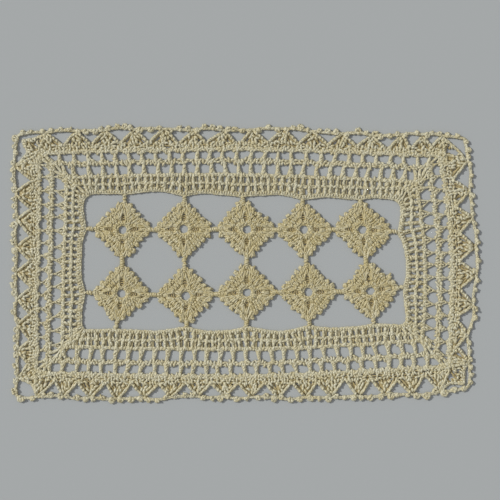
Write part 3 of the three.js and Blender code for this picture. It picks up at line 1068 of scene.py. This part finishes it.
def yarn_material():
    """Cotton: a little uneven in tone, painted shade low down, the plies' twist and the fibres in relief.
    """
    found = bpy.data.materials.get("cotton_yarn")
    if found:
        return found
    yarn = bpy.context.scene.doily_yarn
    material = bpy.data.materials.new("cotton_yarn")
    material.use_nodes = True
    nodes = material.node_tree.nodes
    links = material.node_tree.links
    shader = nodes["Principled BSDF"]
    set_inputs(shader, YARN_GLOSS)
    coordinates = nodes.new("ShaderNodeTexCoord")

    def connect(socket, value):
        if isinstance(value, bpy.types.NodeSocket):
            links.new(value, socket)
        else:
            socket.default_value = value

    def math_node(operation, *values):
        node = nodes.new("ShaderNodeMath")
        node.operation = operation
        for socket, value in zip(node.inputs, values):
            connect(socket, value)
        return node.outputs[0]

    def mix_node(factor, first, second):
        node = nodes.new("ShaderNodeMix")
        node.data_type = "RGBA"
        for name, value in (("Factor", factor), ("A", first), ("B", second)):
            connect(node.inputs[name], value)
        return node.outputs["Result"]

    def noise_node(values):
        node = nodes.new("ShaderNodeTexNoise")
        set_inputs(node, values)
        links.new(coordinates.outputs["Object"], node.inputs["Vector"])
        return node.outputs["Fac"]

    def attribute_node(name):
        node = nodes.new("ShaderNodeAttribute")
        node.attribute_name = name
        return node.outputs["Fac"]

    cloud = math_node("MULTIPLY", noise_node(CLOUD), CLOUD_SHARE)
    dull = math_node("MULTIPLY_ADD", attribute_node("tone"), TONE_SHARE, cloud)
    colour = mix_node(dull, (*yarn.lit, 1), (*yarn.worn, 1))
    # Painted shade: the depth attribute mixes in the shade colour
    colour = mix_node(attribute_node("depth"), colour, (*yarn.painted_shade, 1))
    links.new(colour, shader.inputs["Base Color"])

    twist = nodes.new("ShaderNodeUVMap")
    twist.uv_map = "twist"
    run = nodes.new("ShaderNodeSeparateXYZ")
    links.new(twist.outputs["UV"], run.inputs[0])
    turn = math_node("ADD", run.outputs["X"], run.outputs["Y"])
    wave = math_node("SINE", math_node("MULTIPLY", turn, TURN * yarn.plies))
    relief = math_node("ADD", math_node("MULTIPLY", wave, PLY_SHARE), noise_node(FIBRE))
    bump = nodes.new("ShaderNodeBump")
    set_inputs(bump, RELIEF)
    links.new(relief, bump.inputs["Height"])
    links.new(bump.outputs["Normal"], shader.inputs["Normal"])
    return material


def begin_border(seed):
    """A fresh hand, and the border's courses at its gauge."""
    hand = Hand(seed)
    return hand, border_courses(hand.braid + hand.radius)


def spaced(t, least):
    """Sorted distances with those that crowd the one before left out."""
    kept = [t[0]]
    for value in t[1:]:
        if value - kept[-1] >= least:
            kept.append(value)
    return np.array(kept)


def evenly(length, pitch):
    """Shares of a length at about an even pitch."""
    count = max(2, round(length / pitch))
    return (np.arange(count) + 0.5) / count


def clear_of(places, holes):
    """Which places lie clear of all the holes, each given by its middle and radius."""
    gaps = np.linalg.norm(places[:, None] - holes[None, :, :2], axis=2)
    return (gaps > holes[:, 2] + PIT_MARGIN).all(axis=1)


class DOILY_OT_band(bpy.types.Operator):
    """Work the opening's chain, the band of short stitches and the two filet rounds"""

    bl_idname = "doily.band"
    bl_label = "Band and filet"

    def execute(self, context):
        hand, course = begin_border(SEEDS["band"])
        gauge = context.scene.doily_gauge
        for name in ("opening", "band", "inner"):
            hand.work_round(course[name], **BRAIDS[name])
        hand.work_bar(course["filet"], **FILET_BAR)
        tops = course["band"].lay(course["band"].stations(gauge.band / MM))
        feet = course["opening"].lay(course["opening"].nearest(tops))
        # A low strand under the short stitches, dark with painted shade
        hand.work_back(Course((feet + tops) / 2), BACK_HEIGHT)
        hand.work_strokes(feet, tops, BAND_HEIGHT)
        top_at = course["inner"].stations(gauge.filet / MM)
        for above, below in (("inner", "filet"), ("filet", "band")):
            foot_at = self.work_filet(hand, course[above], course[below], top_at)
            top_at = spaced(foot_at, gauge.dense / MM)
        hand.work_cover(course["inner"], COVERS["inner"])
        self.work_bar_lumps(hand, course["filet"])
        make_piece("border_band", hand, "border")
        return {"FINISHED"}

    def work_filet(self, hand, above, below, top_at):
        """One filet round: flat posts down from the course above. Returns where their feet stand."""
        tops = above.lay(top_at + FILET_STRAY * hand.vary(len(top_at)))
        foot_at = below.facing(tops)
        feet = below.lay(foot_at)
        long = upright(unit(tops - feet))
        for kind, chosen in ((LONG_FILET, long), (SHORT_FILET, ~long)):
            low, high = feet[chosen], tops[chosen]
            hand.work_posts(low, high, yarn=kind["yarn"], **FILET_POST)
            # Painted shade: a low dark strand beside each post, shifted to where its shadow falls
            hand.work_strokes(low + kind["shift"], high + kind["shift"], girth=kind["back"], **FILET_SHADE_STRAND)
        hand.work_lumps_up(feet, tops, FILET_LUMPS, size=FILET_LUMP_SIZE)
        return foot_at

    def work_bar_lumps(self, hand, bar):
        """Lumps along the bar between the two filet rounds."""
        t = bar.stations(LUMP_PITCH)
        ahead = bar.sample(bar.tangents, t)
        short = upright(ahead)
        for chosen, how in ((short, SHORT_BAR_LUMP), (~short, LONG_BAR_LUMP)):
            hand.work_lumps(bar.lay(t)[chosen], ahead[chosen], **how)


class DOILY_OT_mesh(bpy.types.Operator):
    """Work the two rounds of large open mesh, with their solid corners"""

    bl_idname = "doily.mesh"
    bl_label = "Open mesh"

    def execute(self, context):
        hand, course = begin_border(SEEDS["mesh"])
        dense = context.scene.doily_gauge.dense / MM
        hand.work_bar(course["middle"], **MIDDLE_BAR)
        hand.work_round(course["outer"], **BRAIDS["outer"])
        for name in ("middle", "outer"):
            hand.work_cover(course[name], COVERS[name])
        for name, below, above in (("inner_mesh", "inner", "middle"), ("outer_mesh", "middle", "outer")):
            ends = [self.work_posts(hand, course[below], course[above], side, name) for side in SIDES]
            for last, first in zip(ends, ends[1:] + ends[:1]):
                self.work_corner(hand, course[below], course[above], last[1], first[0], dense)
        make_piece("border_mesh", hand, "border")
        return {"FINISHED"}

    def work_posts(self, hand, inner, outer, side, name):
        """The posts between the gaps of one side, on two legs each. Returns the first and the last."""
        s = mesh_stations(side[name])
        half = (s[1:] - s[:-1]) / 2
        s = np.concatenate((s[:1] - half[:1], s[:-1] + half, s[-1:] + half[-1:]))
        middle = place(side, s, round_depth(side[name]["depth"], s))
        tops_at = outer.nearest(middle) + MESH_STRAY * hand.vary(len(s))
        feet_at = inner.nearest(middle) + MESH_STRAY * hand.vary(len(s))
        post = side["post"]
        for leg in (-1, 1):
            feet = inner.lay(feet_at + leg * post["stem"])
            tops = outer.lay(tops_at + leg * post["stem"])
            hand.work_posts(feet, tops, flare=leg * post["flare"], **post["strands"], **MESH_POST)
        feet, tops = inner.lay(feet_at), outer.lay(tops_at)
        ahead = unit(tops - feet)
        for share, across in MESH_LUMPS:
            places = feet + (tops - feet) * share + left_of(ahead) * across * post["flare"]
            hand.work_lumps(places, ahead, height=MESH_LUMP_HEIGHT)
        return (feet_at[0], tops_at[0]), (feet_at[-1], tops_at[-1])

    def work_corner(self, hand, inner, outer, last, first, dense):
        """Tall stitches side by side, from the last post of one side to the first of the next."""
        foot_span = inner.span(last[0], first[0])
        top_span = outer.span(last[1], first[1])
        count = max(1, round((top_span + foot_span) / 2 / dense) - 1)
        share = (np.arange(count) + 1) / (count + 1)
        feet = inner.lay(last[0] + foot_span * share)
        tops = outer.lay(last[1] + top_span * share)
        hand.work_posts(feet, tops, **MESH_CORNER_POST)
        hand.work_lumps_up(feet, tops, MESH_CORNER_LUMPS, height=MESH_CORNER_LUMP_HEIGHT)


class DOILY_OT_fans(bpy.types.Operator):
    """Work the round of fans, with the lace at its corners"""

    bl_idname = "doily.fans"
    bl_label = "Fans"

    def execute(self, context):
        hand, course = begin_border(SEEDS["fans"])
        for side, following in zip(SIDES, SIDES[1:] + SIDES[:1]):
            tips = fan_tips(side)
            step = np.linalg.norm(np.diff(tips, axis=0), axis=1)
            half = np.concatenate((step[:1], np.minimum(step[1:], step[:-1]), step[-1:])) / 2
            for tip, width in zip(tips, half):
                self.work_fan(hand, course["outer"], tip, width, np.array(side["pits"]))
            self.work_corner(hand, course["outer"], side, following)
        self.work_rows(hand, course)
        make_piece("border_fans", hand, "border")
        return {"FINISHED"}

    def work_rows(self, hand, course):
        """The rows of short stitches that the fans stand on."""
        feet = course["outer"].points
        tops = course["edge"].lay(course["edge"].nearest(feet))
        for share in FAN_ROWS:
            row = Course(feet + (tops - feet) * share)
            # A low strand under each row, dark with painted shade
            hand.work_back(row, BACK_HEIGHT)
            hand.work_cover(row, COVERS["fans"])

    def work_fan(self, hand, outer, tip, half, pits):
        """One fan: lumps of yarn with pits among them, drawn together between two arms up to the tip."""
        foot_at = outer.nearest(tip[None])[0]
        rise = tip - outer.lay(np.array([foot_at]))[0]

        def spot(across, up):
            """Places in the fan: shares of its half width and of its height."""
            return outer.lay(foot_at + across * half) + rise * up[:, None]

        def posts(table):
            """Feet and tops of the posts of both halves of the fan, each a little off its place."""
            both = np.vstack([table * (turn, 1, turn, 1) for turn in (1, -1)])
            both = both + FAN_STRAY * hand.vary(*both.shape)
            foot_across, foot_up, top_across, top_up = both.T
            return spot(foot_across, foot_up), spot(top_across, top_up)

        # Low backs under the fan's lumps, dark with painted shade
        hand.work_posts(*posts(FAN_BACKS), **FAN_BACK_POST)
        across, up, radius = pits.T
        holes = np.column_stack((spot(across + PIT_STRAY * hand.vary(len(pits)), up), radius))
        for up in FAN_FILL:
            wide = (1 - up) * FAN_FILL_WIDTH
            count = max(1, round(2 * wide * half / LUMP_PITCH))
            across = (np.arange(count) - (count - 1) / 2) * 2 * wide / count
            places = spot(across, np.full(count, up))
            places = places[clear_of(places, holes)]
            hand.work_lumps(places, unit(tip - places), size=FAN_LUMP_SIZE)
        hand.work_posts(*posts(FAN_ARMS), **FAN_ARM_POST)

    def work_corner(self, hand, outer, side, following):
        """The lace at a corner: rows of lumps over low backs, with holes, and a chain along the rim."""
        corner = CORNERS[side["to"]]
        last, first = fan_tips(side)[-1:], fan_tips(following)[:1]
        rim = Course(np.vstack((last, corner["rim"], first)), closed=False)
        start, end = outer.nearest(np.vstack((last, first)))

        def row(share, at):
            """Places at shares of the way round a row, itself a share of the way to the rim."""
            bar = outer.lay(start + outer.span(start, end) * at)
            return bar + (rim.lay(rim.length * at) - bar) * share

        holes = np.array(corner["holes"])
        for share in CORNER_ROWS:
            line = row(share, np.linspace(0, 1, CORNER_SAMPLES))
            length = np.linalg.norm(np.diff(line, axis=0), axis=1).sum()
            at = evenly(length, LUMP_PITCH)
            places = row(share, at)
            ahead = unit(row(share + CORNER_AHEAD, at) - places)
            clear = clear_of(places, holes)
            hand.work_lumps(places[clear], ahead[clear])
            at = evenly(length, CORNER_BACK_PITCH)
            feet, tops = row(share - CORNER_ROWS[0], at), row(share + CORNER_ROWS[0] / 2, at)
            clear = clear_of((feet + tops) / 2, holes)
            # Low backs under the corner's lumps, dark with painted shade
            hand.work_posts(feet[clear], tops[clear], **CORNER_BACK_POST)
        hand.work_line(row(1.0, np.linspace(0, 1, RIM_SAMPLES)), **RIM_CHAIN)


class DOILY_OT_edging(bpy.types.Operator):
    """Work the edge chain with its picots"""

    bl_idname = "doily.edging"
    bl_label = "Edging"

    def execute(self, context):
        hand, course = begin_border(SEEDS["edging"])
        edge = course["edge"]
        hand.work_round(edge, **BRAIDS["edge"])
        pitch = context.scene.doily_gauge.picot / MM
        for side in SIDES:
            picot = side["picot"]
            ends = edge.nearest(place(side, fan_stops(side), 1))
            for start, end in zip(ends[:-1], ends[1:]):
                span = (end - start) % edge.length
                count = max(1, round(span / pitch))
                t = start + span * (np.arange(count) + 0.5) / count + PICOT_PLACE_STRAY * hand.vary(count)
                facing = np.where(hand.random.uniform(size=count) < picot["inwards"], -1.0, 1.0)
                spots = edge.lay(t)
                out = unit(edge.lay(t, facing) - spots)
                hand.work_picots(spots, out, picot["size"], picot["stand"])
        make_piece("border_edging", hand, "border")
        return {"FINISHED"}


class DOILY_OT_motifs(bpy.types.Operator):
    """Work the square motifs and the chains that join them"""

    bl_idname = "doily.motifs"
    bl_label = "Motifs"

    def execute(self, context):
        for row, motifs in enumerate(MOTIF_ROWS):
            for column, (x, y, scale) in enumerate(motifs):
                hand = Hand(SEEDS["motifs"] + len(motifs) * row + column, MOTIF_TONES)
                ends = [motif_join(row, column, tip) for tip in range(MOTIF_TIPS)]
                self.work_motif(hand, np.array((x, y)), scale, np.array(ends))
                node = motif_node(row, column)
                make_piece(node + "_yarn", hand, node)
        return {"FINISHED"}

    def work_motif(self, hand, centre, scale, ends):
        """One motif, from its ring outwards: the backs, each edge, the lines to the tips, and the joins."""
        corners = unit(ends - centre) * MOTIF_REACH * scale
        course = circle(centre, MOTIF_RING, math.pi, MOTIF_RING_SAMPLES)
        hand.work_round(course, **MOTIF_RING_CHAIN)
        # The backs: low rings under the stitches, dark with painted shade
        for share in MOTIF_BACKS:
            hand.work_back(Course(centre + corners * share), MOTIF_BACK_HEIGHT)
        for k in range(MOTIF_TIPS):
            self.work_edge(hand, centre, scale, course, corners[k], corners[(k + 1) % MOTIF_TIPS])
        for near, far in MOTIF_AXIS:
            hand.work_tall(centre + corners * near, centre + corners * far, MOTIF_AXIS_HEIGHT)
        for end, corner in zip(ends, corners):
            start = centre + corner * MOTIF_EDGE * JOIN_START
            hand.work_posts(start[None], end[None], **JOIN_POST)

    def work_edge(self, hand, centre, scale, course, a, b):
        """The quarter of a motif between two tips: rounds of tall stitches, and picots on the edge."""
        along = unit(b - a)
        length = np.linalg.norm(b - a)
        feet_share = 0.0
        for share, count, pitch in MOTIF_ROUNDS:
            offset = (np.arange(count) - (count - 1) / 2) * pitch * scale
            tops = centre + (a + b) / 2 * share + along * offset[:, None]
            feet = course.lay(course.nearest(tops))
            if feet_share:
                most = length / 2 * feet_share * MOTIF_FEET
                feet = centre + (a + b) / 2 * feet_share + along * np.clip(offset, -most, most)[:, None]
            hand.work_tall(feet, tops, MOTIF_TALL_HEIGHT)
            feet_share = share
        count, from_tip = MOTIF_PICOT["count"], MOTIF_PICOT["from_tip"]
        t = from_tip + (length - 2 * from_tip) / count * (np.arange(count) + 0.5)
        spots = centre + a * MOTIF_EDGE + along * (t * MOTIF_EDGE)[:, None]
        spots = spots + MOTIF_PICOT["stray"] * hand.vary(count, 2)
        out = np.broadcast_to(left_of(along), spots.shape)
        hand.work_picots(spots, out, MOTIF_PICOT["size"], MOTIF_PICOT["stand"])


def motif_node(row, column):
    """Name of the plain solid of a motif."""
    return f"motif_r{row + 1}_c{column + 1}"


def motif_join(row, column, tip):
    """Where a motif's chain ends at a tip, clockwise from the top: on the border or by the next motif."""
    down, right = ((-1, 0), (0, 1), (1, 0), (0, -1))[tip]
    last_row, last_column = len(MOTIF_ROWS) - 1, len(MOTIF_ROWS[0]) - 1
    if 0 <= row + down <= last_row and 0 <= column + right <= last_column:
        here = np.array(MOTIF_ROWS[row][column][:2])
        there = np.array(MOTIF_ROWS[row + down][column + right][:2])
        return (here + there) / 2
    side = SIDES[tip]
    order = (column, row, last_column - column, last_row - row)[tip]
    start, way, out = straight_side(side, "opening")
    return start + way * side["joins"][order] + out * (side["rim"][2 * order + 2] + JOIN_OVERLAP)


class DOILY_OT_stage(bpy.types.Operator):
    """Set up the pale floor, the light and the camera"""

    bl_idname = "doily.stage"
    bl_label = "Stage"

    def execute(self, context):
        scene = context.scene
        self.make_floor(scene)
        self.make_light(scene)
        self.make_camera(scene)
        scene.view_settings.view_transform = "Standard"
        return {"FINISHED"}

    def make_floor(self, scene):
        """The plain floor that the doily lies on."""
        shape = bmesh.new()
        bmesh.ops.create_grid(shape, x_segments=1, y_segments=1, size=FLOOR_HALF)
        bmesh.ops.translate(shape, verts=shape.verts, vec=(0, 0, -FLOOR_DROP))
        mesh = bpy.data.meshes.new("floor")
        shape.to_mesh(mesh)
        shape.free()
        material = bpy.data.materials.new("pale_floor")
        material.use_nodes = True
        shader = material.node_tree.nodes["Principled BSDF"]
        shader.inputs["Base Color"].default_value = (*scene.doily_stage.floor, 1)
        set_inputs(shader, FLOOR_GLOSS)
        mesh.materials.append(material)
        floor = bpy.data.objects.new("floor", mesh)
        scene.collection.objects.link(floor)

    def make_light(self, scene):
        """The sun, from the upper left, and the even light of the sky."""
        light = bpy.data.lights.new("key", "SUN")
        light.energy = scene.doily_stage.sun
        light.angle = scene.doily_stage.sun_spread
        light.color = SUN_COLOUR
        key = bpy.data.objects.new("key", light)
        key.rotation_euler = Vector(SUN_FROM).to_track_quat("Z", "Y").to_euler()
        scene.collection.objects.link(key)
        world = bpy.data.worlds.new("sky")
        world.use_nodes = True
        sky = world.node_tree.nodes["Background"]
        sky.inputs["Color"].default_value = (*SKY_COLOUR, 1)
        sky.inputs["Strength"].default_value = scene.doily_stage.sky
        scene.world = world

    def make_camera(self, scene):
        """The camera, which looks straight down."""
        lens = bpy.data.cameras.new("camera")
        lens.lens = CAMERA_LENS
        lens.sensor_width = CAMERA_SENSOR
        camera = bpy.data.objects.new("camera", lens)
        x, y = (np.array(PICTURE_MIDDLE) + LATTICE_SHIFT) * MM
        camera.location = (x, y, scene.doily_stage.frame_width * CAMERA_LENS / CAMERA_SENSOR)
        scene.collection.objects.link(camera)
        scene.camera = camera


class DOILY_PT_panel(bpy.types.Panel):
    """Doily settings and steps"""

    bl_idname = "DOILY_PT_panel"
    bl_label = "Crochet Doily"
    bl_space_type = "VIEW_3D"
    bl_region_type = "UI"
    bl_category = "Doily"

    def draw(self, context):
        for operator in OPERATORS:
            self.layout.operator(operator.bl_idname)
        for settings in (context.scene.doily_yarn, context.scene.doily_gauge, context.scene.doily_stage):
            box = self.layout.box()
            for name in settings.__annotations__:
                box.prop(settings, name)


OPERATORS = (DOILY_OT_band, DOILY_OT_mesh, DOILY_OT_fans, DOILY_OT_edging, DOILY_OT_motifs, DOILY_OT_stage)
CLASSES = (YarnSettings, GaugeSettings, StageSettings, *OPERATORS, DOILY_PT_panel)


def register():
    for cls in CLASSES:
        bpy.utils.register_class(cls)
    bpy.types.Scene.doily_yarn = PointerProperty(type=YarnSettings)
    bpy.types.Scene.doily_gauge = PointerProperty(type=GaugeSettings)
    bpy.types.Scene.doily_stage = PointerProperty(type=StageSettings)


def unregister():
    del bpy.types.Scene.doily_yarn
    del bpy.types.Scene.doily_gauge
    del bpy.types.Scene.doily_stage
    for cls in reversed(CLASSES):
        bpy.utils.unregister_class(cls)


def main():
    register()
    bpy.ops.doily.stage()
    bpy.ops.doily.band()
    bpy.ops.doily.mesh()
    bpy.ops.doily.fans()
    bpy.ops.doily.edging()
    bpy.ops.doily.motifs()


if __name__ == "__main__":
    main()
